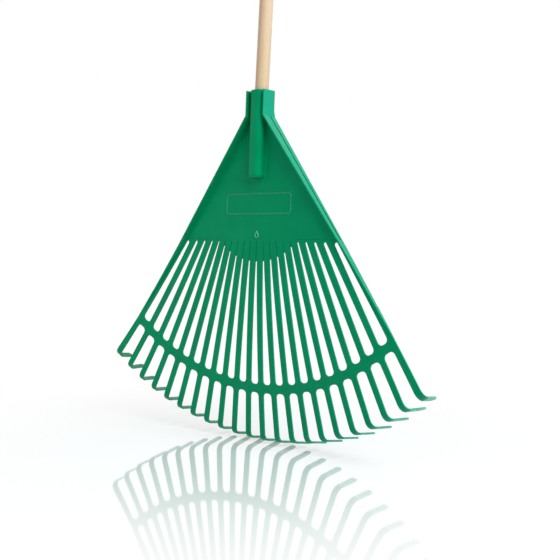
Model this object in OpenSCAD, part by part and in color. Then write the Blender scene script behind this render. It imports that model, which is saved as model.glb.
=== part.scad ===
// Leaf rake: a moulded fan head with sprung, hooked tines on a round wooden handle.
// X runs across the fan, Y from its front face to the hooks behind it, and Z up the handle.
// The fan is drawn about its apex, the point where the middle lines of all tines meet.

/* [Fan] */
// Number of tines
tine_count = 22; // [14:1:26]
// Angle from the middle of the fan to its outermost tines
fan_half_angle = 34.25; // [28:0.25:40]
// Share by which the gaps open out towards the sides
spread_ease = 0.05; // [0:0.01:0.15]
// Drop from the apex to the tops of the slots
slot_drop = 231; // [200:1:260]
// Height of the plate's lip beside the rounded slot tops
slot_lip = 6; // [5:0.5:10]
// Width of the middle slot at its top
slot_w_top = 1.5; // [1:0.1:3]
// Thickness of the plate
plate_thick = 3; // [2:0.1:5]
// How far the thin film closes the middle slot below its top
film_drop = 32; // [10:1:45]
// Distance from the middle at which the film ends
film_half = 75; // [40:1:100]
// Thickness of the film
film_thick = 1.2; // [0.8:0.1:2]
// How far the film is let into the plate's lip
film_root = 0.4; // [0.2:0.1:1]
// Clearance between the film and the tines beside it
film_clear = 0.05; // [0.02:0.01:0.2]

/* [Tines] */
// Width of a tine where it starts to bend
tine_w_end = 9.2; // [6:0.1:12]
// Width of an outermost tine where it starts to bend
edge_tine_w = 11.1; // [9:0.1:14]
// Thickness of a tine
tine_thick = 3; // [2:0.1:4.5]
// Radius of the arc along which the tines start to bend
bend_arc_r = 452; // [430:1:480]
// How far the middle tines bow back by the time they bend
middle_bow = 14; // [0:1:25]
// How far the outermost tines are drawn forward against that bow
edge_lift = 31; // [0:1:45]

/* [Hooks] */
// Inside radius of the bend
bend_r = 11; // [6:0.5:18]
// Angle of the middle hooks to the fan
hook_angle_middle = 80; // [60:1:90]
// Angle of the outermost hooks to the fan
hook_angle_edge = 83; // [60:1:95]
// Length of the straight part of a hook
hook_len = 36; // [30:1:60]
// Length of the straight part of an outermost hook
edge_hook_len = 27; // [20:1:50]
// Angle by which the hooks lean outwards, growing with their place from the middle
hook_splay = 10; // [0:0.5:15]
// Length over which the hook narrows in front view
hook_taper = 5; // [3:1:28]
// Depth to which a hook's root is let into its tine
hook_root = 1.5; // [1:0.5:3]
// Step from the side of a tine to its narrower hook
hook_step = 0.05; // [0.04:0.01:0.2]
// Width of a hook at its tip
hook_tip_w = 7; // [4:0.1:8]
// Length of the slanting cut across the tip
hook_tip_cut = 1; // [0.5:0.5:10]

/* [Cross band] */
// Drop from the apex to the centre of the band's arc
band_drop = 88; // [70:1:110]
// Radius of the band's upper edge
band_r = 372; // [340:1:395]
// Height of the band at the middle of a gap
band_h = 13.5; // [8:0.5:20]
// Thickness of the band
band_thick = 2.6; // [1.5:0.1:3]
// Narrow land left beside the rounded slot ends
band_land = 0.5; // [0.3:0.1:1]

/* [Socket] */
// Width of the collar over its two ears
collar_w = 35.5; // [31:0.5:40]
// Reach of the collar in front of the fan
collar_front = 18; // [16:0.5:24]
// Reach of the boss and the edge walls behind the fan
collar_back = 15; // [14.5:0.5:20]
// Reach of the ears behind the fan
ear_back = 12; // [8:0.5:14.5]
// Height of the collar's top above the apex
collar_top = 7; // [4:0.5:12]
// Drop from the apex to the bottom of the collar
collar_drop = 33; // [28:1:40]
// Thickness of the ears and the edge walls
ear_thick = 3.2; // [2:0.1:4.5]
// Width of the boss that holds the handle
boss_w = 26; // [25.4:0.2:27.2]
// Radius of the boss's rounded edges
boss_round = 10; // [7:0.5:12]
// Drop from the apex to the rounded lower end of the boss
boss_drop = 132; // [115:1:145]
// Thickness of the closed end below the handle
socket_floor = 14; // [6:0.5:18]
// Least height of the edge walls above the tine, at their lower ends
wall_step = 0.6; // [0.4:0.1:1]

/* [Handle] */
// Diameter of the handle
handle_d = 22; // [20:0.1:22.6]
// Diameter of the end turned down for the socket
spigot_d = 21; // [18:0.1:21.4]
// Whole length of the handle
handle_len = 1200; // [900:10:1500]
// Backward lean of the handle against the fan
handle_lean = 1.5; // [0:0.1:2.5]
// Offset of the handle's axis behind the fan, level with the apex
handle_offset = -0.4; // [-1:0.1:1]
// Height of the dome at the handle's top
handle_dome = 5; // [2:0.5:9]
// Clearance all round the handle in its socket
handle_clear = 0.2; // [0.1:0.05:0.4]

/* [Screw] */
// Diameter of the retaining screw
screw_d = 4; // [3:0.1:5]
// Length of the screw under its head
screw_len = 20; // [12:0.5:22]
// Diameter of the screw's head
screw_head_d = 8; // [6:0.1:10]
// Height of the screw's head
screw_head_h = 2.8; // [2:0.1:4]
// Width and depth of the cross recess in the head
screw_recess = 1.2; // [0.8:0.1:1.6]
// Drop from the apex to the screw
screw_drop = 13; // [8:1:20]
// Depth of the flat seat under the head
screw_seat = 1; // [0.5:0.1:1.6]
// Clearance round the screw
screw_clear = 0.1; // [0.05:0.05:0.3]

/* [Raised marks] */
// Width of the bare raised frame on the plate
frame_w = 131; // [100:1:140]
// Height of the frame
frame_h = 35; // [25:1:40]
// Drop from the apex to the frame's centre
frame_drop = 171; // [165:1:180]
// Width of the frame's line
frame_line = 3; // [1:0.1:4]
// Corner radius of the frame
frame_corner = 6; // [4.5:0.5:10]
// Height of the raised marks above the plate
mark_rise = 1; // [0.3:0.1:1.5]
// Width of the small drop-shaped ring above the middle slot
ring_w = 8; // [5:0.2:9]
// Drop from the apex to the centre of the ring's round end
ring_drop = 221.5; // [218:0.5:223]
// Width of the ring's line
ring_line = 1.6; // [0.8:0.1:2.2]

/* [Hidden] */
$fn = 96;
// Steps along a tine's bow and round its bend
bow_steps = 10;
bend_steps = 10;
// Room by which a cutting shape runs past what it cuts
past = 60;

plastic = [0.0, 0.50, 0.33];
wood = [0.86, 0.73, 0.58];
steel = [0.72, 0.73, 0.74];

two_digits = [for (i = [1:tine_count]) str(i < 10 ? "0" : "", i)];
tine_names = [for (d = two_digits) str("tine_", d)];

// Directions in the fan's own plane are pairs: across, and up from the apex.
function along(a) = [sin(a), -cos(a)];
function across(a) = [cos(a), sin(a)];
// Place of a tine between -1 and 1, and the angle of its middle line
function place(i) = 2 * i / (tine_count - 1) - 1;
function tine_angle(i) = fan_half_angle * ((1 - spread_ease) * place(i) + spread_ease * pow(place(i), 3));

// Distance from the apex, at an angle, to an arc about the band's centre
function to_arc(a, r) = band_drop * cos(a) + sqrt(r * r - pow(band_drop * sin(a), 2));

// Width of a tine at a distance from the apex
lip_drop = slot_drop + slot_lip;
middle_gap_angle = tine_angle(tine_count / 2) - tine_angle(tine_count / 2 - 1);
tine_w_top = 2 * slot_drop * tan(abs(middle_gap_angle) / 2) - slot_w_top;
tine_reach = to_arc(0, bend_arc_r);
function tine_w(r) = tine_w_top + (tine_w_end - tine_w_top) * (r - slot_drop) / (tine_reach - slot_drop);
function left_side(i, r) = r * along(tine_angle(i)) - tine_w(r) / 2 * across(tine_angle(i));
function right_side(i, r) = r * along(tine_angle(i)) + tine_w(r) / 2 * across(tine_angle(i));

// The outer edge is one straight line from the collar's corner to the outermost tine's bend.
edge_r = to_arc(fan_half_angle, bend_arc_r);
edge_end = edge_r * along(fan_half_angle) + (edge_tine_w - tine_w_end / 2) * across(fan_half_angle);
edge_start = [collar_w / 2, -collar_drop];
edge_angle = atan2(edge_end[0] - edge_start[0], edge_start[1] - edge_end[1]);
function edge_x(drop) = edge_start[0] + (drop - collar_drop) * tan(edge_angle);

// Depth of the fan's front face below the plate: the middle bows back, the sides come forward.
bow_reach = tine_reach - lip_drop;
function below_lip(drop) = max(0, drop - lip_drop) / bow_reach;
function bow(x, drop) = middle_bow * pow(below_lip(drop), 2)
    - edge_lift * below_lip(drop) * pow(x / edge_end[0], 2);
function bow_at(a, r) = bow(r * sin(a), r * cos(a));

// Side view of a tine, as pairs of distance from the apex and depth
function hook_angle(i) = hook_angle_middle + (hook_angle_edge - hook_angle_middle) * pow(place(i), 2);
function start_r(i) = lip_drop / cos(tine_angle(i)) - tine_w_top;
function bend_start(i) = to_arc(tine_angle(i), bend_arc_r);
function end_slope(i) = atan(bow_at(tine_angle(i), bend_start(i) + 0.5)
    - bow_at(tine_angle(i), bend_start(i) - 0.5));
function heading(t) = [cos(t), sin(t)];
function inward(t) = [-sin(t), cos(t)];
function bend_centre(i) = [bend_start(i), bow_at(tine_angle(i), bend_start(i))]
    + (bend_r + tine_thick) * inward(end_slope(i));
function bend_point(i, r, t) = bend_centre(i) - r * inward(t);
function hook_end(i, r, len) = bend_point(i, r, hook_angle(i)) + len * heading(hook_angle(i));
function bow_line(i, extra) = [for (k = [0:bow_steps])
    let (r = start_r(i) + (bend_start(i) - start_r(i)) * k / bow_steps)
    [r, bow_at(tine_angle(i), r) + extra]];
function bend_line(i, r) = [for (k = [1:bend_steps])
    bend_point(i, r, end_slope(i) + (hook_angle(i) - end_slope(i)) * k / bend_steps)];
function reversed(list) = [for (k = [len(list) - 1:-1:0]) list[k]];
function outermost(i) = i == 0 || i == tine_count - 1;
function hook_length(i) = outermost(i) ? edge_hook_len : hook_len;
function hook_lean(i) = outermost(i) ? 0 : tan(hook_splay * place(i));
function flat_end(i, extra) = [bend_start(i), bow_at(tine_angle(i), bend_start(i)) + extra];
function flat_side(i) = concat(bow_line(i, 0), reversed(bow_line(i, tine_thick)));
function hook_side(i) = concat(
    [flat_end(i, 0)],
    bend_line(i, bend_r + tine_thick),
    [hook_end(i, bend_r + tine_thick, hook_length(i) - hook_tip_cut), hook_end(i, bend_r, hook_length(i))],
    reversed(bend_line(i, bend_r)),
    [flat_end(i, tine_thick), flat_end(i, tine_thick / 2) - [hook_root, 0]]);

// The part stands on its lowest hooks, with the middle of its depth over the origin.
middle_tine = floor(tine_count / 2);
lowest_r = max(hook_end(middle_tine, bend_r + tine_thick, hook_len - hook_tip_cut)[0],
    hook_end(middle_tine, bend_r, hook_len)[0]);
apex_height = lowest_r * cos(tine_angle(middle_tine));
depth_middle = (hook_end(middle_tine, bend_r, hook_len)[1] - collar_front) / 2;

// Moves a shape drawn about the apex to its place in the part.
module placed() {
    translate([0, -depth_middle, apex_height]) children();
}

// Raises a front view, drawn across and up, from one depth to another.
module raised(from, to) {
    translate([0, to, 0]) rotate([90, 0, 0]) linear_extrude(height = to - from) children();
}

// Turns a shape drawn with X down a line from the apex, Y back and Z across to that line's angle.
module down_line(a) {
    rotate([0, 90 - a, 0]) children();
}

// Carries a shape drawn up the Z axis to the handle's leaning axis.
module up_handle() {
    translate([0, handle_offset, 0]) rotate([-handle_lean, 0, 0]) children();
}

// Front view of everything between the two outer edges, drawn in by a margin
module between_edges(from_drop, to_drop, margin = 0) {
    polygon([[margin - edge_x(from_drop), -from_drop], [edge_x(from_drop) - margin, -from_drop],
        [edge_x(to_drop) - margin, -to_drop], [margin - edge_x(to_drop), -to_drop]]);
}

// Front view of one tine from the lip down, left wide on the outer side of an outermost tine
module tine_front(i) {
    top = start_r(i);
    bottom = tine_reach + past;
    out_left = (i == 0 ? past : 0) * across(tine_angle(i));
    out_right = (i == tine_count - 1 ? past : 0) * across(tine_angle(i));
    intersection() {
        polygon([left_side(i, top) - out_left, left_side(i, bottom) - out_left,
            right_side(i, bottom) + out_right, right_side(i, top) + out_right]);
        between_edges(lip_drop, bottom);
    }
}

// End view of one hook, across it and back: it leans outwards and narrows at the tip
module hook_plan(i) {
    foot = flat_end(i, tine_thick)[1];
    tip = hook_end(i, bend_r, hook_length(i))[1];
    neck = tip - hook_taper;
    neck_lean = hook_lean(i) * (neck - foot);
    tip_lean = hook_lean(i) * (tip - foot);
    inner_half = tine_w(bend_start(i)) / 2 - hook_step;
    outer_half = edge_tine_w - tine_w_end / 2 - hook_step;
    left = i == 0 ? outer_half : inner_half;
    right = i == tine_count - 1 ? outer_half : inner_half;
    polygon([[-left, foot - past], [right, foot - past], [right, foot], [right + neck_lean, neck],
        [hook_tip_w / 2 + tip_lean, tip + wall_step], [tip_lean - hook_tip_w / 2, tip + wall_step],
        [neck_lean - left, neck], [-left, foot]]);
}

// A flat, bowed tine with its bent, square-ended hook
module tine_bar(i) {
    bottom = tine_reach + past;
    intersection() {
        down_line(tine_angle(i)) translate([0, 0, -past])
            linear_extrude(height = 2 * past) polygon(flat_side(i));
        raised(-past, 2 * past) tine_front(i);
    }
    intersection() {
        down_line(tine_angle(i)) translate([0, 0, -past])
            linear_extrude(height = 2 * past) polygon(hook_side(i));
        down_line(tine_angle(i)) translate([bottom, 0, 0]) rotate([0, -90, 0])
            linear_extrude(height = bottom - start_r(i)) hook_plan(i);
    }
}

// The right edge wall, which stands before and behind the fan and runs out at the cross band
wall_end_drop = to_arc(fan_half_angle, band_r) * cos(fan_half_angle);
wall_len = (wall_end_drop - collar_drop) / cos(edge_angle);
function wall_drop(u) = collar_drop + u * cos(edge_angle);
function wall_bow(u) = bow(edge_x(wall_drop(u)), wall_drop(u));
function wall_share(u) = 1 - max(0, u) / wall_len;
function wall_front(u) = wall_bow(u) - wall_step - (collar_front - wall_step) * wall_share(u);
function wall_back(u) = wall_bow(u) + tine_thick + wall_step
    + (collar_back - tine_thick - wall_step) * wall_share(u);
wall_stations = concat([-ear_thick], [for (k = [0:bow_steps]) wall_len * k / bow_steps]);
wall_side = concat([for (u = wall_stations) [u, wall_front(u)]],
    reversed([for (u = wall_stations) [u, wall_back(u)]]));
module right_wall() {
    intersection() {
        translate([edge_start[0], 0, edge_start[1]]) down_line(edge_angle)
            translate([0, 0, -ear_thick]) linear_extrude(height = ear_thick) polygon(wall_side);
        raised(-past, past) between_edges(collar_drop, wall_end_drop + past);
    }
}

module tine(i) {
    color(plastic) placed() union() {
        tine_bar(i);
        if (i == tine_count - 1) right_wall();
        if (i == 0) mirror([1, 0, 0]) right_wall();
    }
}

// Front view of a slot's rounded top, cut into the lip between two tines
module slot_top(k) {
    a = (tine_angle(k) + tine_angle(k + 1)) / 2;
    gap = norm(left_side(k + 1, slot_drop / cos(a)) - right_side(k, slot_drop / cos(a)));
    r = (slot_drop + gap / 2) / cos(a);
    bottom = (lip_drop + slot_lip) / cos(a);
    translate(r * along(a)) circle(r = gap / 2);
    polygon([right_side(k, r), left_side(k + 1, r), left_side(k + 1, bottom), right_side(k, bottom)]);
}

// How far the film closes a slot below its top, and the film's front view: let into the lip, clear of the tines
function film_reach(k) = film_drop
    * (1 - pow(slot_drop * tan((tine_angle(k) + tine_angle(k + 1)) / 2) / film_half, 2));
module film_strip(k, from_drop, to_drop, extra) {
    a = (tine_angle(k) + tine_angle(k + 1)) / 2;
    more = extra * across(a);
    top = from_drop / cos(a);
    bottom = to_drop / cos(a);
    polygon([right_side(k, top) - more, left_side(k + 1, top) + more,
        left_side(k + 1, bottom) + more, right_side(k, bottom) - more]);
}

module slot_film(k) {
    film_strip(k, slot_drop - slot_w_top, slot_drop + slot_lip / 2, film_root);
    film_strip(k, slot_drop + slot_lip / 4, slot_drop + film_reach(k), -film_clear);
}

// A rounded rectangle about the origin, with round corners of a few steps each
function rounded_corners(w, h, r) = [for (q = [0:3], k = [0:6])
    let (t = 90 * q + 15 * k, sx = q == 0 || q == 3 ? 1 : -1, sy = q < 2 ? 1 : -1)
    [sx * (w / 2 - r) + r * cos(t), sy * (h / 2 - r) + r * sin(t)]];

// A drop with a round lower end of a given radius about the origin and its point above
function drop_outline(r) = concat([for (k = [0:16]) let (t = 150 + 15 * k) [r * cos(t), r * sin(t)]],
    [[0, 2 * r]]);

module raised_marks() {
    raised(-mark_rise, plate_thick / 2) translate([0, -frame_drop]) difference() {
        polygon(rounded_corners(frame_w, frame_h, frame_corner));
        polygon(rounded_corners(frame_w - 2 * frame_line, frame_h - 2 * frame_line,
            frame_corner - frame_line));
    }
    raised(-mark_rise, plate_thick / 2) translate([0, -ring_drop]) difference() {
        polygon(drop_outline(ring_w / 2));
        polygon(drop_outline(ring_w / 2 - ring_line));
    }
}

// The round-edged boss, before it is bored for the handle
module boss_body() {
    side = boss_w / 2 - boss_round;
    hull() for (x = [-side, side], y = [boss_round - collar_front, collar_back - boss_round]) {
        translate([x, y, boss_round - boss_drop]) sphere(r = boss_round, $fn = 32);
        translate([x, y, boss_round - boss_drop])
            cylinder(r = boss_round, h = collar_top + boss_drop - boss_round, $fn = 32);
    }
}

module fan_plate() {
    color(plastic) placed() difference() {
        union() {
            raised(0, plate_thick) difference() {
                between_edges(collar_drop, lip_drop, ear_thick / cos(edge_angle));
                for (k = [0:tine_count - 2]) slot_top(k);
            }
            raised_marks();
            for (k = [0:tine_count - 2]) if (film_reach(k) > slot_lip)
                raised((plate_thick - film_thick) / 2, (plate_thick + film_thick) / 2) slot_film(k);
        }
        boss_body();
    }
}

// One web of the cross band, between two tines, hollowed by the round ends of the slots
module band_web(k) {
    a = (tine_angle(k) + tine_angle(k + 1)) / 2;
    upper = to_arc(a, band_r);
    lower = to_arc(a, band_r + band_h);
    upper_r = norm(left_side(k + 1, upper) - right_side(k, upper)) / 2 - band_land;
    lower_r = norm(left_side(k + 1, lower) - right_side(k, lower)) / 2 - band_land;
    depth = bow_at(a, (upper + lower) / 2) + (tine_thick - band_thick) / 2;
    raised(depth, depth + band_thick) difference() {
        polygon([right_side(k, upper - upper_r), left_side(k + 1, upper - upper_r),
            left_side(k + 1, lower + lower_r), right_side(k, lower + lower_r)]);
        translate((upper - upper_r) * along(a)) circle(r = upper_r);
        translate((lower + lower_r) * along(a)) circle(r = lower_r);
    }
}

module cross_band() {
    color(plastic) placed() for (k = [0:tine_count - 2]) band_web(k);
}

// The handle seats on the collar's top and on the socket's floor.
shoulder_h = (collar_top + handle_d / 2 * sin(handle_lean)) / cos(handle_lean);
spigot_low = socket_floor - boss_drop;
screw_seat_y = collar_back - screw_seat;

// Hole for the screw, from behind, down to a depth
module screw_hole(to_y) {
    translate([0, collar_back + past, -screw_drop]) rotate([90, 0, 0])
        cylinder(d = screw_d + 2 * screw_clear, h = collar_back + past - to_y);
}

module socket() {
    color(plastic) placed() difference() {
        union() {
            boss_body();
            for (side = [-1, 1])
                translate([side * (collar_w - ear_thick) / 2 - ear_thick / 2, -collar_front, -collar_drop])
                    cube([ear_thick, collar_front + ear_back, collar_drop + collar_top]);
            translate([ear_thick / 2 - collar_w / 2, 0, -collar_drop])
                cube([collar_w - ear_thick, plate_thick, collar_drop + collar_top]);
        }
        up_handle() translate([0, 0, spigot_low])
            cylinder(d = spigot_d + 2 * handle_clear, h = boss_drop + collar_top);
        screw_hole(0);
        translate([0, collar_back + past, -screw_drop]) rotate([90, 0, 0])
            cylinder(d = screw_head_d + 2 * screw_clear, h = past + screw_seat);
    }
}

module handle() {
    top = spigot_low + handle_len;
    dome_r = (pow(handle_d / 2, 2) + pow(handle_dome, 2)) / (2 * handle_dome);
    color(wood) placed() difference() {
        up_handle() difference() {
            union() {
                translate([0, 0, spigot_low]) cylinder(d = spigot_d, h = handle_len / 2);
                translate([0, 0, shoulder_h]) cylinder(d = handle_d, h = top - shoulder_h);
            }
            difference() {
                translate([0, 0, top - handle_dome - 1]) cylinder(d = 2 * handle_d, h = past);
                translate([0, 0, top - dome_r]) sphere(r = dome_r);
            }
        }
        screw_hole(screw_seat_y - screw_len - screw_clear);
    }
}

module retaining_screw() {
    head_r = screw_head_d / 2;
    head_dome_r = (head_r * head_r + screw_head_h * screw_head_h) / (2 * screw_head_h) + screw_head_h;
    color(steel) placed() translate([0, screw_seat_y, -screw_drop]) rotate([90, 0, 0]) {
        cylinder(d = screw_d, h = screw_len);
        difference() {
            intersection() {
                translate([0, 0, -screw_head_h]) cylinder(r = head_r, h = screw_head_h);
                translate([0, 0, head_dome_r - screw_head_h]) sphere(r = head_dome_r);
            }
            for (turn = [0, 90]) rotate(turn)
                translate([-screw_head_d / 3, -screw_recess / 2, -2 * screw_head_h])
                cube([screw_head_d * 2 / 3, screw_recess, screw_head_h + screw_recess]);
        }
    }
}

socket();
fan_plate();
cross_band();
handle();
retaining_screw();
for (i = [0:tine_count - 1])
    tine(i);
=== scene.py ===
from math import atan2, copysign, cos, pi, radians, sin, sqrt, tan

import bmesh
import bpy
from bmesh.types import BMFace, BMVert
from mathutils import Matrix, Vector


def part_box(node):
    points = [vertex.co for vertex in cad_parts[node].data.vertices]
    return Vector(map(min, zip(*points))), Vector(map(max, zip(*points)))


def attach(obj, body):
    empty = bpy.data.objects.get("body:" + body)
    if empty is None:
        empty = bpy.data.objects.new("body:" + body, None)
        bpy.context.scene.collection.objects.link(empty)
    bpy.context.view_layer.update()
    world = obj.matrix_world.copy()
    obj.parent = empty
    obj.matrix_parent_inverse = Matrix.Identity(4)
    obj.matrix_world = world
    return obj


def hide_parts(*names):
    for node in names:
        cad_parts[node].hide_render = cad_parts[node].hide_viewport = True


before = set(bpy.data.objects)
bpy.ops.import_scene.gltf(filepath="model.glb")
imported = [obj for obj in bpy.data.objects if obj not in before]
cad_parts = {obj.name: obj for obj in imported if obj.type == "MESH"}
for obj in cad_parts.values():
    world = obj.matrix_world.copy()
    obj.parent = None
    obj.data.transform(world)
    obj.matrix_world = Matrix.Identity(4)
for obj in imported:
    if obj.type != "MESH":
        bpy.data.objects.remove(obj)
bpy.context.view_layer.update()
mm = 0.001

# Fan, measured straight down from the apex. SPREAD_EASE sets the outer tines a little further apart. The
# plate's straight rows end a little above the slots.
TINES = 22
FAN_HALF_ANGLE = radians(34.25)
SPREAD_EASE = 0.05
SLOT_DROP = 231 * mm
SLOT_LIP = 6 * mm
SLOT_WIDTH_TOP = 1.5 * mm
PLATE_DROP = SLOT_DROP - 4 * mm
SHEET_THICK = 3 * mm

# Films in the middle slots. They reach FILM_DROP below the slots' tops in the middle, and end at FILM_HALF to
# either side.
FILM_DROP = 32 * mm
FILM_HALF = 75 * mm
FILM_THICK = 1.2 * mm
FILM_TUCK = 0.3 * mm

# Tines and their hooks. At the bends the middle of the fan bows back and its sides come forward.
TINE_WIDTH_END = 9.2 * mm
EDGE_TINE_WIDTH = 10.9 * mm
BEND_ARC_R = 452 * mm
MIDDLE_BOW = 14 * mm
EDGE_LIFT = 31 * mm
SLOPE_STEP = 1 * mm
BEND_R = 11 * mm
HOOK_ANGLE_MIDDLE = radians(80)
HOOK_ANGLE_EDGE = radians(83)
HOOK_LENGTH = 35.9 * mm
EDGE_HOOK_LENGTH = 26.9 * mm
HOOK_SPLAY = radians(10)
HOOK_TAPER = 5 * mm
HOOK_TIP_WIDTH = 7 * mm
HOOK_TIP_CUT = 1 * mm

# Cross band, on an arc about a centre below the apex. Its corner rounds are a share of half a slot's width.
BAND_DROP = 88 * mm
BAND_R = 372 * mm
BAND_HEIGHT = 13.5 * mm
BAND_CORNER = 0.78

# Collar with its ears, and the edge walls, which get lower from the collar down to the band
COLLAR_HALF = 17.75 * mm
COLLAR_FRONT = 18 * mm
COLLAR_BACK = 15 * mm
COLLAR_TOP = 7 * mm
COLLAR_DROP = 33 * mm
COLLAR_TILT = 0.08
EAR_BACK = 12 * mm
WALL_FRONT = 17.95 * mm
WALL_THICK = 3.2 * mm
WALL_DRAFT = 1.2 * mm
WALL_RUN_OUT = 40 * mm
WALL_BACK_ROUND = 1.3 * mm
GROOVE_RIM = 0.3 * mm
GROOVE_DEPTH = 2.2 * mm
COLLAR_INNER = COLLAR_HALF - WALL_THICK

# Boss and its bore
BOSS_WIDTH = 26 * mm
BOSS_ROUND = 10 * mm
BOSS_END_ROUND = 6 * mm
BOSS_EDGE_ROUND = 0.9 * mm
BOSS_TAPER = 0.08
BOSS_FILLET = 3 * mm
BOSS_DROP = 132 * mm
SOCKET_FLOOR = 14 * mm
MOUTH_RIM = 1 * mm

# Handle
HANDLE_R = 11 * mm
SPIGOT_R = 10.5 * mm
SPIGOT_CLEAR = 0.2 * mm
HANDLE_LENGTH = 1200 * mm
HANDLE_LEAN = radians(1.5)
HANDLE_OFFSET = -0.4 * mm
HANDLE_DOME = 5 * mm

# Raised marks on the plate. The profile gives shares of a line's width and of its rise. The ring is an arc,
# in degrees, with its point above it, in radii.
FRAME_WIDTH = 131 * mm
FRAME_HEIGHT = 35 * mm
FRAME_DROP = 171 * mm
FRAME_LINE = 3 * mm
FRAME_CORNER = 6 * mm
# The frame's top takes a faint pale painted highlight, and the ring's a strong one
FRAME_SHEEN = 0.15
RING_R = 4 * mm
RING_DROP = 221.5 * mm
RING_LINE = 1.6 * mm
RING_SHEEN = 1.0
RING_ARC = (150, 390)
RING_POINT = 2
MARK_RISE = 1 * mm
MARK_SUNK = 0.4 * mm
MARK_PROFILE = ((0.75, 0.8), (0.5, 1.0), (0.25, 0.8))
ARC_STEP = 15

# Cells of the meshes: rows down the fan, columns across it, and steps round curves
COLLAR_ROWS = 4
PLATE_ROWS = 14
LIP_ROWS = 2
WEB_ROWS = 6
TINE_ROWS = (14, WEB_ROWS, 7)
TINE_COLUMNS = 2
SLOT_COLUMNS = 6
WEB_COLUMNS = 12
BEND_STEPS = 9
BOSS_ROUND_STEPS = 15
BOSS_END_STEPS = 6
LID_CUTS = 9
FILLET_TURNS = 8
FILLET_STEPS = 6
HANDLE_SEGMENTS = 64
SHAFT_STEPS = 12
DOME_STEPS = 8

# Small rounds, and limits for picking out edges and faces
EDGE_ROUND = 0.45 * mm
MERGE = 0.002 * mm
MERGE_FINE = 0.0002 * mm
END_TOLERANCE = 0.02 * mm
SHARE_TOLERANCE = 1e-6
LONG_EDGE = 2 * mm
SHARP = radians(35)
FACING = 0.9
# Facing limits over which the painted side sheen comes in
SHEEN_FROM = 0.3
SHEEN_FULL = 0.8
WALL_FACES = 0.75 * WALL_THICK
WALL_EDGES = 1.5 * WALL_THICK

# Studio. The floor turns from glossy to plain white between two distances from the object.
FLOOR_R = 12.0
FLOOR_SEGMENTS = 96
FLOOR_COLOUR = (0.92, 0.87, 0.85, 1)
FLOOR_GLOW = 0.1
FLOOR_NEAR = 0.15
FLOOR_FAR = 0.65
ROOM_LIGHT = 0.3
WHITE = (1, 1, 1, 1)

# Camera, as fitted to the photo, and its place from the apex
CAMERA_LENS = 48.59
CAMERA_SENSOR = 36
CAMERA_PLACE = Vector((741.8, -953.3, -266.1)) * mm
CAMERA_TURN = (radians(88.806), radians(-2.093), radians(36.044))

# The apex, where the middle lines of all tines meet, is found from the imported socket.
socket_low, socket_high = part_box("socket")
APEX = Vector((0, socket_low.y + COLLAR_FRONT, socket_high.z - COLLAR_TOP))


# Geometry of the fan, as pairs: across, and down from the apex. Tines are counted by i, slots by k.

def blend(a, b, share):
    return a + (b - a) * share


def along(a):
    """The way down the fan, at an angle from its middle."""
    return Vector((sin(a), cos(a)))


def across(a):
    """The way to the right of that."""
    return Vector((cos(a), -sin(a)))


def flattened(point):
    """A point of the mesh as a pair."""
    return Vector((point.x, -point.z))


def place(i):
    """A tine's place across the fan, from -1 to 1."""
    return 2 * i / (TINES - 1) - 1


def tine_angle(i):
    x = place(i)
    return FAN_HALF_ANGLE * ((1 - SPREAD_EASE) * x + SPREAD_EASE * x ** 3)


def to_arc(a, r):
    """Distance from the apex to an arc of radius r about the band's centre."""
    return BAND_DROP * cos(a) + sqrt(r * r - (BAND_DROP * sin(a)) ** 2)


LIP_DROP = SLOT_DROP + SLOT_LIP
TINE_REACH = to_arc(0, BEND_ARC_R)
MIDDLE_PITCH = tine_angle(TINES // 2) - tine_angle(TINES // 2 - 1)
TINE_WIDTH_TOP = 2 * SLOT_DROP * tan(MIDDLE_PITCH / 2) - SLOT_WIDTH_TOP

EDGE_REACH = to_arc(FAN_HALF_ANGLE, BEND_ARC_R)
EDGE_OUT = EDGE_TINE_WIDTH - TINE_WIDTH_END / 2
EDGE_START = Vector((COLLAR_HALF, COLLAR_DROP))
EDGE_END = EDGE_REACH * along(FAN_HALF_ANGLE) + EDGE_OUT * across(FAN_HALF_ANGLE)
EDGE_ANGLE = atan2(EDGE_END.x - EDGE_START.x, EDGE_END.y - EDGE_START.y)
WALL_END_DROP = to_arc(FAN_HALF_ANGLE, BAND_R) * cos(FAN_HALF_ANGLE)
WALL_CORNER_DROP = COLLAR_DROP + WALL_THICK * (1 / cos(EDGE_ANGLE) - 1) / tan(EDGE_ANGLE)


def tine_width(r):
    return blend(TINE_WIDTH_TOP, TINE_WIDTH_END, (r - SLOT_DROP) / (TINE_REACH - SLOT_DROP))


def edge_x(drop):
    """Half the fan's width at a drop below the apex."""
    return EDGE_START.x + (drop - EDGE_START.y) * tan(EDGE_ANGLE)


PLATE_HALF = edge_x(PLATE_DROP) - WALL_THICK / cos(EDGE_ANGLE)


def edge_side(i, r, inset):
    """Point of an outermost tine's outer edge, or of a line inset from it, at a distance down the tine."""
    a = FAN_HALF_ANGLE
    slope = tan(EDGE_ANGLE)
    out = (edge_x(0) + r * (slope * cos(a) - sin(a))) / (cos(a) + slope * sin(a))
    point = r * along(a) + (out - inset / cos(EDGE_ANGLE - a)) * across(a)
    return point if i > 0 else Vector((-point.x, point.y))


def left_side(i, r):
    return r * along(tine_angle(i)) - tine_width(r) / 2 * across(tine_angle(i))


def right_side(i, r):
    return r * along(tine_angle(i)) + tine_width(r) / 2 * across(tine_angle(i))


def inner_left(i, r):
    """A tine's left side, but on the first tine the inner line of its wall."""
    return left_side(i, r) if i > 0 else edge_side(i, r, WALL_THICK)


def inner_right(i, r):
    """A tine's right side, but on the last tine the inner line of its wall."""
    return right_side(i, r) if i < TINES - 1 else edge_side(i, r, WALL_THICK)


def bow(flat):
    """How far the fan's front lies behind a flat sheet; negative where it comes forward."""
    below = max(0.0, flat.y - LIP_DROP) / (TINE_REACH - LIP_DROP)
    return MIDDLE_BOW * below ** 2 - EDGE_LIFT * below * (flat.x / EDGE_END.x) ** 2


def bend_start(i):
    return to_arc(tine_angle(i), BEND_ARC_R)


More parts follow.
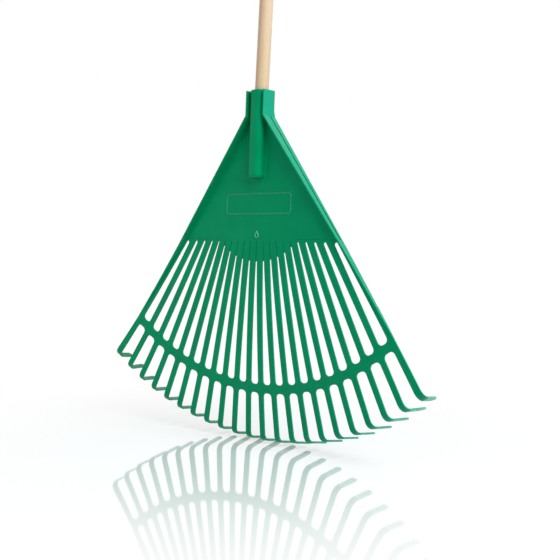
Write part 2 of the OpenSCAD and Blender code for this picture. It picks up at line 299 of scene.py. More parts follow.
def slots_beside(i):
    """The slots to the left and right of a tine; an outermost tine has one slot, given twice."""
    return max(i - 1, 0), min(i, TINES - 2)


def gap_angle(k):
    return (tine_angle(k) + tine_angle(k + 1)) / 2


def slot_start(k):
    """Distance from the apex to where a slot's straight sides start, below its rounded top."""
    r = SLOT_DROP / cos(gap_angle(k))
    half = (left_side(k + 1, r) - right_side(k, r)).length / 2
    return (SLOT_DROP + half) / cos(gap_angle(k))


def web_ends(k):
    """Distances from the apex to a web's upper and lower edges, and to the ends of their corner rounds."""
    a = gap_angle(k)
    upper = to_arc(a, BAND_R)
    lower = to_arc(a, BAND_R + BAND_HEIGHT)
    half = (left_side(k + 1, upper) - right_side(k, upper)).length / 2
    return upper, lower, upper - BAND_CORNER * half, lower + BAND_CORNER * half


def tine_stops(i, k):
    """Distances down a tine to the ends of its three parts, on the side of slot k."""
    _, _, upper_round, lower_round = web_ends(k)
    return slot_start(k), upper_round, lower_round, bend_start(i)


def wall_share(drop):
    """A wall's height as a share of its height at the collar."""
    return max(0.0, min(1.0, 1 - (drop - COLLAR_DROP) / (WALL_END_DROP - COLLAR_DROP)))


def outside_distance(flat):
    """How far a point of the fan lies inside its outer edge."""
    if flat.y < COLLAR_DROP:
        return COLLAR_HALF - abs(flat.x)
    return (edge_x(flat.y) - abs(flat.x)) * cos(EDGE_ANGLE)


def back_reach(drop):
    """How far the ears and the edge walls stand behind the fan's front, away from its bow."""
    if drop < COLLAR_DROP - END_TOLERANCE:
        return EAR_BACK
    return SHEET_THICK + (COLLAR_BACK - SHEET_THICK) * wall_share(drop)


# Mesh helpers

def patch(sheet, columns, rows, where):
    """A grid of cells whose corners go to where(share across, share down), facing the front."""
    grid = bmesh.ops.create_grid(sheet, x_segments=columns, y_segments=rows, size=0.5)
    for corner in grid["verts"]:
        point = where(corner.co.x + 0.5, 0.5 - corner.co.y)
        corner.co = (point.x, 0.0, -point.y)


def strip(sheet, columns, rows, left, right):
    """A patch between two lines, each a function of the share down."""
    patch(sheet, columns, rows, lambda u, v: blend(left(v), right(v), u))


def only(kind, geometry):
    return [g for g in geometry if isinstance(g, kind)]


def region(faces):
    """Faces with all their edges and corners, so that drawing them out leaves no face behind."""
    edges = dict.fromkeys(e for f in faces for e in f.edges)
    corners = dict.fromkeys(v for f in faces for v in f.verts)
    return [*edges, *corners, *faces]


def draw_out(mesh_data, faces, keep=False):
    """Draws faces out, and keeps the old ones if they close the shape.

    Returns the new faces and their corners, still in the old place.
    """
    geometry = faces if keep else region(faces)
    grown = bmesh.ops.extrude_face_region(mesh_data, geom=geometry)["geom"]
    return only(BMFace, grown), only(BMVert, grown)


def move(mesh_data, corners, way):
    bmesh.ops.translate(mesh_data, verts=corners, vec=way)


def face_outwards(mesh_data):
    bmesh.ops.recalc_face_normals(mesh_data, faces=mesh_data.faces[:])


def sharp_edges(mesh_data):
    return [e for e in mesh_data.edges if e.is_manifold and e.calc_face_angle() > SHARP]


def round_edges(mesh_data, edges, width, steps=2):
    bmesh.ops.bevel(
        mesh_data, geom=edges, offset=width, offset_type="OFFSET", affect="EDGES",
        segments=steps, profile=0.5, material=-1, clamp_overlap=False,
    )


def finished_mesh(name, mesh_data, material):
    mesh = bpy.data.meshes.new(name)
    mesh_data.to_mesh(mesh)
    mesh_data.free()
    mesh.materials.append(material)
    return mesh


def add_object(name, data):
    thing = bpy.data.objects.new(name, data)
    bpy.context.scene.collection.objects.link(thing)
    return thing


def finish_piece(name, mesh_data, material, slot, *nodes):
    mesh = finished_mesh(name, mesh_data, material)
    mesh.shade_smooth()
    mesh.set_sharp_from_angle(angle=SHARP)
    piece = add_object(name, mesh)
    even = piece.modifiers.new("even_shading", "WEIGHTED_NORMAL")
    even.keep_sharp = True
    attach(piece, "root")
    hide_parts(*nodes)


# Materials

def srgb(red, green, blue):
    """A colour given as it looks on screen, 0 to 255, as linear light."""
    parts = [c / 255 for c in (red, green, blue)]
    return tuple(c / 12.92 if c <= 0.04045 else ((c + 0.055) / 1.055) ** 2.4 for c in parts) + (1.0,)


FRONT_GREENS = (srgb(1, 121, 73), srgb(2, 128, 78))
# The side greens are a painted sheen: paler and bluer, for the sides that look outwards
SIDE_SHEEN_GREENS = (srgb(0, 134, 98), srgb(0, 141, 104))
# Pale green painted on as a reflection of the floor on the hooks and as highlights on the raised marks
PAINTED_SHEEN_GREEN = srgb(140, 200, 178)
PLASTIC_SHEEN = srgb(0, 205, 225)
WOOD_TONES = (srgb(203, 177, 149), srgb(195, 166, 135))
WOOD_STREAK = srgb(182, 147, 111)
WOOD_FLECK = srgb(170, 131, 96)
STEEL_TONES = (srgb(196, 200, 206), srgb(206, 202, 190))


def new_material(name):
    material = bpy.data.materials.new(name)
    material.use_nodes = True
    nodes = material.node_tree.nodes
    return material, nodes, material.node_tree.links, nodes["Principled BSDF"]


def set_inputs(node, values):
    for socket, value in values.items():
        node.inputs[socket].default_value = value


def add_node(nodes, kind, inputs=None, **settings):
    """A node with its settings, and the values of its sockets."""
    node = nodes.new(kind)
    for name, value in settings.items():
        setattr(node, name, value)
    set_inputs(node, inputs or {})
    return node


def object_place(nodes):
    return nodes.new("ShaderNodeTexCoord").outputs["Object"]


def mesh_share(nodes, name):
    """A share from 0 to 1 that is stored on the mesh."""
    return add_node(nodes, "ShaderNodeAttribute", attribute_name=name).outputs["Fac"]


def combine(nodes, links, operation, first, second):
    """Puts two outputs together by a maths operation; returns the output."""
    node = add_node(nodes, "ShaderNodeMath", operation=operation)
    links.new(first, node.inputs[0])
    links.new(second, node.inputs[1])
    return node.outputs["Value"]


def soft_variation_group():
    """Cloudy variation between two values, used for tone, gloss and fine relief alike."""
    group = bpy.data.node_groups.new("soft_variation", "ShaderNodeTree")
    group.interface.new_socket("Vector", in_out="INPUT", socket_type="NodeSocketVector")
    for name, value in (("Scale", 20.0), ("Detail", 3.0), ("Low", 0.0), ("High", 1.0)):
        socket = group.interface.new_socket(name, in_out="INPUT", socket_type="NodeSocketFloat")
        socket.default_value = value
    group.interface.new_socket("Value", in_out="OUTPUT", socket_type="NodeSocketFloat")
    nodes, links = group.nodes, group.links
    given = nodes.new("NodeGroupInput")
    cloud = add_node(nodes, "ShaderNodeTexNoise", {"Roughness": 0.55})
    spread = add_node(
        nodes, "ShaderNodeMapRange", {"From Min": 0.3, "From Max": 0.7}, interpolation_type="SMOOTHSTEP")
    result = nodes.new("NodeGroupOutput")
    links.new(given.outputs["Vector"], cloud.inputs["Vector"])
    links.new(given.outputs["Scale"], cloud.inputs["Scale"])
    links.new(given.outputs["Detail"], cloud.inputs["Detail"])
    links.new(cloud.outputs["Fac"], spread.inputs["Value"])
    links.new(given.outputs["Low"], spread.inputs["To Min"])
    links.new(given.outputs["High"], spread.inputs["To Max"])
    links.new(spread.outputs["Result"], result.inputs["Value"])
    return group


soft_variation = soft_variation_group()


def variation(nodes, links, vector, scale, low=0.0, high=1.0, detail=3.0):
    """The cloudy variation, placed in a material with its own values; returns its output."""
    node = add_node(nodes, "ShaderNodeGroup", node_tree=soft_variation)
    set_inputs(node, {"Scale": scale, "Low": low, "High": high, "Detail": detail})
    links.new(vector, node.inputs["Vector"])
    return node.outputs["Value"]


def mix_colours(nodes, links, share, first, second):
    """Blends two colours, each a value or an output, by a share; returns the output."""
    node = add_node(nodes, "ShaderNodeMix", data_type="RGBA")
    links.new(share, node.inputs["Factor"])
    for socket, colour in (("A", first), ("B", second)):
        target = [i for i in node.inputs if i.name == socket and i.type == "RGBA"][0]
        if isinstance(colour, tuple):
            target.default_value = colour
        else:
            links.new(colour, target)
    return [o for o in node.outputs if o.type == "RGBA"][0]


def add_relief(nodes, links, shader, height, strength, distance):
    relief = add_node(nodes, "ShaderNodeBump", {"Strength": strength, "Distance": distance})
    links.new(height, relief.inputs["Height"])
    links.new(relief.outputs["Normal"], shader.inputs["Normal"])


def moulded_green_plastic():
    """Semi-gloss moulded plastic: slightly cloudy green with a fine matt grain.

    It has painted sheen: a paler, bluer green on the sides that look outwards, a patchy pale painted
    reflection of the floor on the hooks' outer sides, and pale painted highlights on the tops of the raised
    marks.
    """
    material, nodes, links, shader = new_material("moulded_green_plastic")
    where = object_place(nodes)
    cloud = variation(nodes, links, where, scale=24)
    front = mix_colours(nodes, links, cloud, *FRONT_GREENS)
    side = mix_colours(nodes, links, cloud, *SIDE_SHEEN_GREENS)
    # Outward-looking sides get the paler, bluer green, a painted sheen
    green = mix_colours(nodes, links, mesh_share(nodes, "side"), front, side)
    patches = variation(nodes, links, where, scale=420, low=0.25, high=0.8, detail=4)
    # Patchy pale painted reflection on the hooks' outer sides, and painted highlights on the raised marks'
    # tops
    painted_sheen = combine(nodes, links, "MULTIPLY", mesh_share(nodes, "painted_sheen"), patches)
    links.new(mix_colours(nodes, links, painted_sheen, green, PAINTED_SHEEN_GREEN), shader.inputs["Base Color"])
    gloss = variation(nodes, links, where, scale=60, low=0.38, high=0.5)
    links.new(gloss, shader.inputs["Roughness"])
    set_inputs(shader, {"Specular IOR Level": 0.45, "Specular Tint": PLASTIC_SHEEN})
    grain = variation(nodes, links, where, scale=900, detail=2)
    add_relief(nodes, links, shader, grain, strength=0.1, distance=0.2 * mm)
    return material


def varnished_pale_wood():
    """Pale close-grained wood: long fine streaks and short flecks along the pole, under a thin varnish."""
    material, nodes, links, shader = new_material("varnished_pale_wood")
    where = object_place(nodes)

    def drawn_out(share):
        """Places on the pole, with heights cut to a share, so that a pattern is drawn out along it."""
        values = {"Rotation": (HANDLE_LEAN, 0, 0), "Scale": (1, 1, share)}
        turn = add_node(nodes, "ShaderNodeMapping", values)
        links.new(where, turn.inputs["Vector"])
        return turn.outputs["Vector"]

    broad = variation(nodes, links, drawn_out(0.03), scale=70, detail=2)
    streaks = variation(nodes, links, drawn_out(0.02), scale=480, high=0.55, detail=5)
    flecks = variation(nodes, links, drawn_out(0.12), scale=1300, high=0.3, detail=1)
    tone = mix_colours(nodes, links, broad, *WOOD_TONES)
    tone = mix_colours(nodes, links, streaks, tone, WOOD_STREAK)
    tone = mix_colours(nodes, links, flecks, tone, WOOD_FLECK)
    links.new(tone, shader.inputs["Base Color"])
    gloss = variation(nodes, links, drawn_out(0.1), scale=200, low=0.5, high=0.62)
    links.new(gloss, shader.inputs["Roughness"])
    set_inputs(shader, {"Specular IOR Level": 0.25, "Coat Weight": 0.4, "Coat Roughness": 0.4})
    add_relief(nodes, links, shader, streaks, strength=0.15, distance=0.1 * mm)
    return material


def zinc_plated_steel():
    """Bright plated steel with a faintly clouded, slightly warm and cool sheen."""
    material, nodes, links, shader = new_material("zinc_plated_steel")
    where = object_place(nodes)
    cloud = variation(nodes, links, where, scale=500)
    links.new(mix_colours(nodes, links, cloud, *STEEL_TONES), shader.inputs["Base Color"])
    gloss = variation(nodes, links, where, scale=1500, low=0.22, high=0.38)
    links.new(gloss, shader.inputs["Roughness"])
    set_inputs(shader, {"Metallic": 1.0})
    return material


green_plastic = moulded_green_plastic()
handle_wood = varnished_pale_wood()
screw_steel = zinc_plated_steel()


# Fan head: first the front as a flat sheet

def on_plate_line(side_at, i):
    """Where a tine's side, drawn on upwards, meets the lower end of the plate's straight rows."""
    a = tine_angle(i)
    r = PLATE_DROP / cos(a)
    r += (PLATE_DROP - side_at(i, r).y) / cos(a)
    return side_at(i, r)


def add_plate_columns(sheet, columns, left, right, lower):
    """The plate's cells above one tine or slot, from the collar's top down to lower(share across)."""
    def at_line(u):
        return blend(left, right, u)

    def in_collar(u, v):
        drop = blend(-COLLAR_TOP, WALL_CORNER_DROP, v)
        return Vector((at_line(u).x / PLATE_HALF * COLLAR_INNER, drop))

    def below_collar(u, v):
        half = blend(COLLAR_INNER, PLATE_HALF, v)
        drop = blend(WALL_CORNER_DROP, PLATE_DROP, v)
        return Vector((at_line(u).x / PLATE_HALF * half, drop))

    patch(sheet, columns, COLLAR_ROWS, in_collar)
    patch(sheet, columns, PLATE_ROWS, below_collar)
    patch(sheet, columns, LIP_ROWS, lambda u, v: blend(at_line(u), lower(u), v))


def add_plate(sheet):
    """The plate down to the slots, drawn in columns that meet the tines and slot tops below it."""
    corners = []
    for i in range(TINES):
        left = on_plate_line(left_side, i) if i > 0 else Vector((-PLATE_HALF, PLATE_DROP))
        right = on_plate_line(right_side, i) if i < TINES - 1 else Vector((PLATE_HALF, PLATE_DROP))
        corners.append((left, right))
    for i, (left, right) in enumerate(corners):
        left_slot, right_slot = slots_beside(i)
        low_left = inner_left(i, slot_start(left_slot))
        low_right = inner_right(i, slot_start(right_slot))
        add_plate_columns(sheet, TINE_COLUMNS, left, right, lambda u: blend(low_left, low_right, u))
    for k in range(TINES - 1):
        low_left = right_side(k, slot_start(k))
        low_right = left_side(k + 1, slot_start(k))
        middle = (low_left + low_right) / 2
        reach = (low_right - low_left) / 2
        up = -along(gap_angle(k)) * reach.length

        def slot_top(u):
            return middle - reach * cos(pi * u) + up * sin(pi * u)

        add_plate_columns(sheet, SLOT_COLUMNS, corners[k][1], corners[k + 1][0], slot_top)


def add_wall_strips(sheet):
    """The two outer strips, from the collar's top to the slots, that become its ears and the edge walls."""
    for side, tine in ((-1, 0), (1, TINES - 1)):
        start = slot_start(slots_beside(tine)[0])
        inner = [
            Vector((side * COLLAR_INNER, -COLLAR_TOP)),
            Vector((side * COLLAR_INNER, WALL_CORNER_DROP)),
            Vector((side * PLATE_HALF, PLATE_DROP)),
            edge_side(tine, start, WALL_THICK),
        ]
        outer = [
            Vector((side * COLLAR_HALF, -COLLAR_TOP)),
            Vector((side * COLLAR_HALF, COLLAR_DROP)),
            Vector((side * edge_x(PLATE_DROP), PLATE_DROP)),
            edge_side(tine, start, 0),
        ]
        left, right = (outer, inner) if side < 0 else (inner, outer)
        for part, rows in enumerate((COLLAR_ROWS, PLATE_ROWS, LIP_ROWS)):
            def left_line(v):
                return blend(left[part], left[part + 1], v)

            def right_line(v):
                return blend(right[part], right[part + 1], v)

            strip(sheet, 1, rows, left_line, right_line)


def add_tine(sheet, i):
    """One tine from the slot tops to its bend, with rows that meet the webs on both sides."""
    left_stops, right_stops = [tine_stops(i, k) for k in slots_beside(i)]
    for part, rows in enumerate(TINE_ROWS):
        def left(v):
            return inner_left(i, blend(left_stops[part], left_stops[part + 1], v))

        def right(v):
            return inner_right(i, blend(right_stops[part], right_stops[part + 1], v))

        def outer(v):
            return edge_side(i, blend(left_stops[part], left_stops[part + 1], v), 0)

        strip(sheet, TINE_COLUMNS, rows, left, right)
        if i == 0:
            strip(sheet, 1, rows, outer, left)
        if i == TINES - 1:
            strip(sheet, 1, rows, right, outer)


def add_web(sheet, k):
    """One web of the cross band, with a slot's rounded end above it and a window's below."""
    upper, lower, upper_round, lower_round = web_ends(k)

    def bound(side_r, edge_r, u):
        left = right_side(k, side_r)
        right = left_side(k + 1, side_r)
        middle = (left + right) / 2
        half = (right - left) / 2
        flat = 0 if abs(u - 0.5) < SHARE_TOLERANCE else copysign(1 - BAND_CORNER, u - 0.5)
        sideways = flat - BAND_CORNER * cos(pi * u)
        return middle + half * sideways + along(gap_angle(k)) * (edge_r - side_r) * sin(pi * u)

    def where(u, v):
        return blend(bound(upper_round, upper, u), bound(lower_round, lower, u), v)

    patch(sheet, WEB_COLUMNS, WEB_ROWS, where)


# Fan head: then the solid with its walls, hooks, marks and films

def on_wall(face):
    """True for the front and back faces of the strips that become ears and walls."""
    flat = flattened(face.calc_center_median())
    near_edge = outside_distance(flat) < WALL_FACES
    return abs(face.normal.y) > FACING and near_edge and flat.y < WALL_END_DROP


def raise_walls(head, faces, to_back):
    """Draws the strips' faces out into the collar's ears and the edge walls, thinner at their free edge."""
    _, corners = draw_out(head, faces)
    for corner in corners:
        flat = flattened(corner.co)
        share = wall_share(flat.y)
        if outside_distance(flat) > WALL_THICK / 2:
            corner.co.x += copysign(WALL_DRAFT * share, flat.x)
        corner.co.y += back_reach(flat.y) - SHEET_THICK if to_back else -WALL_FRONT * share


def cut_wall_grooves(head):
    """A narrow groove along the outside of each edge wall, level with the plate."""
    def is_edge(face):
        middle = face.calc_center_median()
        flat = flattened(middle)
        level = 0 < middle.y < SHEET_THICK and COLLAR_DROP < flat.y < PLATE_DROP
        return level and abs(outside_distance(flat)) < END_TOLERANCE

    bmesh.ops.inset_region(
        head, faces=[f for f in head.faces if is_edge(f)], thickness=GROOVE_RIM, depth=-GROOVE_DEPTH,
        use_boundary=True, use_even_offset=True,
    )


def slope_ears(head):
    """Lets the ears' tops rise a little towards the back."""
    for corner in head.verts:
        on_ear = abs(corner.co.x) > COLLAR_INNER - MERGE
        if on_ear and corner.co.z > COLLAR_TOP - END_TOLERANCE:
            corner.co.z += COLLAR_TILT * (corner.co.y + COLLAR_FRONT / 2)


def narrow_tip(tip, side, heading, inward):
    """Brings a hook's tip to its width, and cuts its underside back a little."""
    spread = [v.co.dot(side) for v in tip]
    width = max(spread) - min(spread)
    middle = sum((v.co for v in tip), Vector()) / len(tip)
    for corner in tip:
        sideways = (corner.co - middle).dot(side)
        corner.co -= side * (corner.co.dot(side) - sideways * HOOK_TIP_WIDTH / width)
        if (corner.co - middle).dot(inward) < 0:
            corner.co -= heading * HOOK_TIP_CUT


def bend_hook(head, painted_sheen, i):
    """Spins a tine's end round its bend, then draws out the straight hook, narrows its tip and leans it."""
    a = tine_angle(i)
    start = bend_start(i)
    here = start * along(a)
    half_step = along(a) * SLOPE_STEP / 2
    slope = atan2(bow(here + half_step) - bow(here - half_step), SLOPE_STEP)
    down = Vector((sin(a), 0, -cos(a)))
    side = Vector((cos(a), 0, sin(a)))
    back = Vector((0, 1, 0))
    radius = BEND_R + SHEET_THICK
    centre = down * (start - radius * sin(slope)) + back * (bow(here) + radius * cos(slope))
    turn = blend(HOOK_ANGLE_MIDDLE, HOOK_ANGLE_EDGE, place(i) ** 2)
    heading = down * cos(turn) + back * sin(turn)
    inward = back * cos(turn) - down * sin(turn)
    outermost = i in (0, TINES - 1)
    length = EDGE_HOOK_LENGTH if outermost else HOOK_LENGTH

    def is_end(face):
        flat = flattened(face.calc_center_median())
        at_end = abs(flat.dot(along(a)) - start) < END_TOLERANCE
        return at_end and abs(flat.dot(across(a))) < EDGE_TINE_WIDTH

    flat_part = set(head.verts)
    end = region([f for f in head.faces if is_end(f)])
    spun = bmesh.ops.spin(head, geom=end, cent=centre, axis=side, angle=turn - slope, steps=BEND_STEPS)
    foot = only(BMVert, spun["geom_last"])
    last, neck = draw_out(head, only(BMFace, spun["geom_last"]))
    move(head, neck, heading * (length - HOOK_TAPER))
    _, tip = draw_out(head, last)
    move(head, tip, heading * HOOK_TAPER)
    # The outer side of the foot, neck and tip takes a patchy pale painted reflection of the floor
    for ring in (foot, neck, tip):
        level = sum(v.co.dot(inward) for v in ring) / len(ring)
        for corner in ring:
            corner[painted_sheen] = 1.0 if corner.co.dot(inward) < level else 0.0
    narrow_tip(tip, side, heading, inward)
    if outermost:
        return
    lean = tan(HOOK_SPLAY * place(i))
    behind = bow(here) + SHEET_THICK
    for corner in head.verts:
        if corner not in flat_part:
            corner.co += side * lean * max(0, corner.co.y - behind)


def runs_out(edge):
    """True near the lower end of a wall, where it is too low to take a rounded edge."""
    flat = flattened((edge.verts[0].co + edge.verts[1].co) / 2)
    return outside_distance(flat) < WALL_EDGES and 0 < WALL_END_DROP - flat.y < WALL_RUN_OUT


def is_wall_back(edge):
    """True for the outer back edges of the ears and walls."""
    for corner in edge.verts:
        flat = flattened(corner.co)
        behind = bow(flat) + back_reach(flat.y)
        if abs(outside_distance(flat)) > END_TOLERANCE or abs(corner.co.y - behind) > END_TOLERANCE:
            return False
        if flat.y > WALL_END_DROP - WALL_RUN_OUT:
            return False
    return True


def in_groove(edge):
    """True for the edges inside the walls' grooves."""
    for corner in edge.verts:
        flat = flattened(corner.co)
        if outside_distance(flat) >= GROOVE_DEPTH + END_TOLERANCE:
            return False
        if not END_TOLERANCE < corner.co.y < SHEET_THICK - END_TOLERANCE:
            return False
        if not COLLAR_DROP < flat.y < SLOT_DROP:
            return False
    return True


def add_ridge(head, path, width, sheen_strength):
    """A raised line with a rounded top, round a closed path of pairs: a spot, and the way inwards."""
    painted_sheen = head.verts.layers.float["painted_sheen"]
    profile = [(-MARK_SUNK, MARK_SUNK), (width + MARK_SUNK, MARK_SUNK)]
    profile += [(width * share, -MARK_RISE * rise) for share, rise in MARK_PROFILE]
    grid = bmesh.ops.create_grid(head, x_segments=len(path), y_segments=len(profile), size=0.5)["verts"]
    for corner in grid:
        spot, inwards = path[round((corner.co.x + 0.5) * len(path)) % len(path)]
        reach, depth = profile[round((corner.co.y + 0.5) * len(profile)) % len(profile)]
        corner.co = spot + inwards * reach + Vector((0, depth, 0))
        # The raised top takes a pale painted highlight at the given strength
        corner[painted_sheen] = sheen_strength if depth < 0 else 0.0
    bmesh.ops.remove_doubles(head, verts=grid, dist=MERGE_FINE)


def arc_path(middle, radius, first, last):
    """Spots of an arc on the plate, each with the way inwards; the angles are in degrees."""
    path = []
    for angle in range(first, last + 1, ARC_STEP):
        outwards = Vector((cos(radians(angle)), 0, sin(radians(angle))))
        path.append((middle + outwards * radius, -outwards))
    return path


def add_raised_marks(head):
    """A bare raised frame and a small drop-shaped ring on the plate's front."""
    wide = FRAME_WIDTH / 2 - FRAME_CORNER
    high = FRAME_HEIGHT / 2 - FRAME_CORNER
    frame_path = []
    for sx, sz, first in ((1, 1, 0), (-1, 1, 90), (-1, -1, 180), (1, -1, 270)):
        middle = Vector((sx * wide, 0, sz * high - FRAME_DROP))
        frame_path += arc_path(middle, FRAME_CORNER, first, first + 90)
    add_ridge(head, frame_path, FRAME_LINE, FRAME_SHEEN)
    middle = Vector((0, 0, -RING_DROP))
    up = Vector((0, 0, 1))
    drop_path = arc_path(middle, RING_R, *RING_ARC)
    drop_path.append((middle + up * RING_R * RING_POINT, -up * RING_POINT))
    add_ridge(head, drop_path, RING_LINE, RING_SHEEN)


def add_slot_film(head, k):
    """A thin film left in a slot by the moulding; it closes a middle slot for a short way below its top."""
    a = gap_angle(k)
    reach = FILM_DROP * (1 - (SLOT_DROP * tan(a) / FILM_HALF) ** 2)
    if reach < SLOT_LIP:
        return
    top = SLOT_DROP / cos(a) - SLOT_WIDTH_TOP
    bottom = (SLOT_DROP + reach) / cos(a)
    for corner in bmesh.ops.create_cube(head, size=1)["verts"]:
        r = bottom if corner.co.z < 0 else top
        if corner.co.x < 0:
            flat = right_side(k, r) - FILM_TUCK * across(a)
        else:
            flat = left_side(k + 1, r) + FILM_TUCK * across(a)
        depth = SHEET_THICK / 2 + corner.co.y * FILM_THICK + bow(flat)
        corner.co = (flat.x, depth, -flat.y)


def mark_sheen_sides(head):
    """Stores on each face how far it looks outwards from the middle, for the paler, bluer green of the
    painted side sheen.
    """
    head.normal_update()
    share = head.faces.layers.float.new("side")
    for face in head.faces:
        outwards = copysign(1, face.calc_center_median().x) * face.normal.x
        face[share] = min(1.0, max(0.0, (outwards - SHEEN_FROM) / (SHEEN_FULL - SHEEN_FROM)))


def fan_head():
    """Plate, ears, edge walls, cross band and tines in one mesh, with the marks and films let into it."""
    head = bmesh.new()
    add_plate(head)
    add_wall_strips(head)
    for i in range(TINES):
        add_tine(head, i)
    for k in range(TINES - 1):
        add_web(head, k)
    bmesh.ops.remove_doubles(head, verts=head.verts[:], dist=MERGE)
    for corner in head.verts:
        corner.co.y = bow(flattened(corner.co))
    _, back = draw_out(head, head.faces[:], keep=True)
    move(head, back, (0, SHEET_THICK, 0))
    face_outwards(head)

    walls = [f for f in head.faces if on_wall(f)]
    raise_walls(head, [f for f in walls if f.normal.y < 0], to_back=False)
    raise_walls(head, [f for f in walls if f.is_valid and f.normal.y > 0], to_back=True)
    face_outwards(head)
    cut_wall_grooves(head)
    slope_ears(head)
    painted_sheen = head.verts.layers.float.new("painted_sheen")
    for i in range(TINES):
        bend_hook(head, painted_sheen, i)
    bmesh.ops.remove_doubles(head, verts=head.verts[:], dist=MERGE)
    face_outwards(head)

    round_edges(head, [e for e in sharp_edges(head) if is_wall_back(e)], WALL_BACK_ROUND, steps=3)
    round_edges(head, [e for e in sharp_edges(head) if not (runs_out(e) or in_groove(e))], EDGE_ROUND)
    add_raised_marks(head)
    for k in range(TINES - 1):
        add_slot_film(head, k)
    face_outwards(head)
    mark_sheen_sides(head)
    move(head, head.verts[:], APEX)
    nodes = ["fan_plate", "cross_band"] + [f"tine_{i + 1:02d}" for i in range(TINES)]
    finish_piece("fan_head", head, green_plastic, "green_plastic", *nodes)


# Boss and handle

def add_boss_fillet(boss):
    """A concave fillet between the boss and the plate: down one side, round the end, up the other."""
    half = BOSS_WIDTH / 2
    inner = half - BOSS_END_ROUND
    low = BOSS_END_ROUND - BOSS_DROP
    stations = [(Vector((half, 0, -COLLAR_DROP)), 0.0)]
    for side, first in ((1, 0), (-1, pi / 2)):
        for step in range(FILLET_TURNS + 1):
            turn = first + pi / 2 * step / FILLET_TURNS
            outward = Vector((cos(turn), 0, -sin(turn)))
            stations.append((Vector((side * inner, 0, low)) + outward * BOSS_END_ROUND, turn))
    stations.append((Vector((-half, 0, -COLLAR_DROP)), pi))
    sunk = EDGE_ROUND
    profile = [(BOSS_FILLET, sunk)]
    for step in range(FILLET_STEPS + 1):
        t = pi / 2 * step / FILLET_STEPS
        profile.append((BOSS_FILLET * (1 - sin(t)), -BOSS_FILLET * (1 - cos(t))))
    profile += [(-sunk, -BOSS_FILLET), (-sunk, sunk)]
    spot, turn = stations[0]
    corners = [boss.verts.new(spot + Vector((out, depth, 0))) for out, depth in profile]
    end = [boss.faces.new(corners)]
    for n, (next_spot, next_turn) in enumerate(stations[1:]):
        end, corners = draw_out(boss, end, keep=n == 0)
        bmesh.ops.rotate(boss, verts=corners, cent=spot, matrix=Matrix.Rotation(next_turn - turn, 3, "Y"))
        move(boss, corners, next_spot - spot)
        spot, turn = next_spot, next_turn


def socket_boss():
    """The round-edged boss between the collar's ears, with a bore for the handle."""
    boss = bmesh.new()
    deep = COLLAR_FRONT + COLLAR_BACK
    tall = COLLAR_TOP + BOSS_DROP
    bmesh.ops.create_cube(boss, size=1)
    bmesh.ops.scale(boss, verts=boss.verts[:], vec=(BOSS_WIDTH, deep, tall))
    move(boss, boss.verts[:], (0, (COLLAR_BACK - COLLAR_FRONT) / 2, (COLLAR_TOP - BOSS_DROP) / 2))
    upright = [e for e in boss.edges if abs(e.verts[0].co.z - e.verts[1].co.z) > BOSS_ROUND]
    round_edges(boss, upright, BOSS_ROUND, BOSS_ROUND_STEPS)
    foot = [f for f in boss.faces if f.normal.z < -FACING]
    round_edges(boss, foot[0].edges[:], BOSS_END_ROUND, BOSS_END_STEPS)
    for corner in boss.verts:
        if corner.co.y < 0:
            corner.co.y *= 1 - BOSS_TAPER * (COLLAR_TOP - corner.co.z) / tall

    lid = [f for f in boss.faces if f.normal.z > FACING]
    flat_sides = [e for e in lid[0].edges if e.calc_length() > LONG_EDGE]
    bmesh.ops.subdivide_edges(boss, edges=flat_sides, cuts=LID_CUTS)
    lid = [f for f in boss.faces if f.normal.z > FACING]
    bmesh.ops.inset_region(boss, faces=lid, thickness=MOUTH_RIM)
    mouth = Vector((0, HANDLE_OFFSET + COLLAR_TOP * tan(HANDLE_LEAN), COLLAR_TOP))
    for corner in lid[0].verts:
        corner.co = mouth + (corner.co - mouth).normalized() * (SPIGOT_R + SPIGOT_CLEAR)
    depth = tall - SOCKET_FLOOR
    _, corners = draw_out(boss, lid)
    move(boss, corners, (0, -depth * tan(HANDLE_LEAN), -depth))
    face_outwards(boss)
    round_edges(boss, sharp_edges(boss), BOSS_EDGE_ROUND, steps=3)
    add_boss_fillet(boss)
    face_outwards(boss)
    move(boss, boss.verts[:], APEX)
    finish_piece("socket_boss", boss, green_plastic, "green_plastic", "socket")


def handle_stations(low, top):
    """Radius and height of each ring up the pole, above its lower end."""
    shoulder = COLLAR_TOP / cos(HANDLE_LEAN) + HANDLE_R * tan(HANDLE_LEAN)
    stations = [(SPIGOT_R, low), (SPIGOT_R, shoulder), (HANDLE_R, shoulder)]
    for n in range(1, SHAFT_STEPS + 1):
        stations.append((HANDLE_R, blend(shoulder, top - HANDLE_DOME, n / SHAFT_STEPS)))
    dome_r = (HANDLE_R ** 2 + HANDLE_DOME ** 2) / (2 * HANDLE_DOME)
    dome_turn = atan2(HANDLE_R, dome_r - HANDLE_DOME)
    for n in range(1, DOME_STEPS):
        turn = dome_turn * (1 - n / DOME_STEPS)
        stations.append((dome_r * sin(turn), top - dome_r + dome_r * cos(turn)))
    return stations


